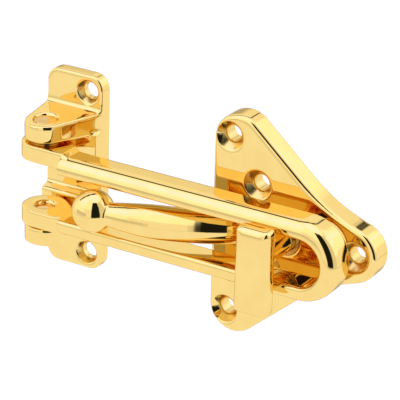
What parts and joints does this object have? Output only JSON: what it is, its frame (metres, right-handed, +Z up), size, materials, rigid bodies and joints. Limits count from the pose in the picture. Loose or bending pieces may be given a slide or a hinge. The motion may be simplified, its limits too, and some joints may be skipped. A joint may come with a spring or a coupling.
{
  "type": "swing bar door guard",
  "caption": "Polished brass swing bar door guard: jamb bracket with a hinged U-shaped bar, and a door plate with a ball arm and a turn lock.",
  "frame": {"origin": "on the back face of the jamb bracket, straight behind the hinge axis, at mid height", "axes": "+X from the hinge towards the free end of the closed bar, +Y into the wall, +Z up"},
  "size_m": [0.124, 0.0348, 0.0724],
  "materials": {
    "polished_brass": "mirror-polished, thinly lacquered",
    "brass_pin": "polished, slightly duller than the castings",
    "turned_brass": "plain turned, not polished",
    "zinc_steel": "zinc plated"
  },
  "bodies": {
    "frame": {"jamb_bracket": "polished_brass", "upper_hinge_pin": "brass_pin", "lower_hinge_pin": "brass_pin", "upper_thrust_washer": "turned_brass", "lower_thrust_washer": "turned_brass", "door_plate": "polished_brass", "ball_arm": "polished_brass", "arm_screw": "zinc_steel", "spindle_bush": "turned_brass", "wave_washer": "zinc_steel"},
    "bar": {"swing_bar": "polished_brass"},
    "knob": {"lock_knob": "polished_brass", "stop_washer": "zinc_steel", "spindle_screw": "zinc_steel"}
  },
  "joints": [
    {"name": "bar_swing", "type": "hinge", "parent": "frame", "child": "bar", "pos_m": [0, -0.0164, 0], "axis": [0, 0, -1], "range_deg": [0, 180]},
    {"name": "knob_turn", "type": "hinge", "parent": "frame", "child": "knob", "pos_m": [0.0852, -0.013, 0], "axis": [0, 1, 0], "range_deg": [0, 90]}
  ]
}
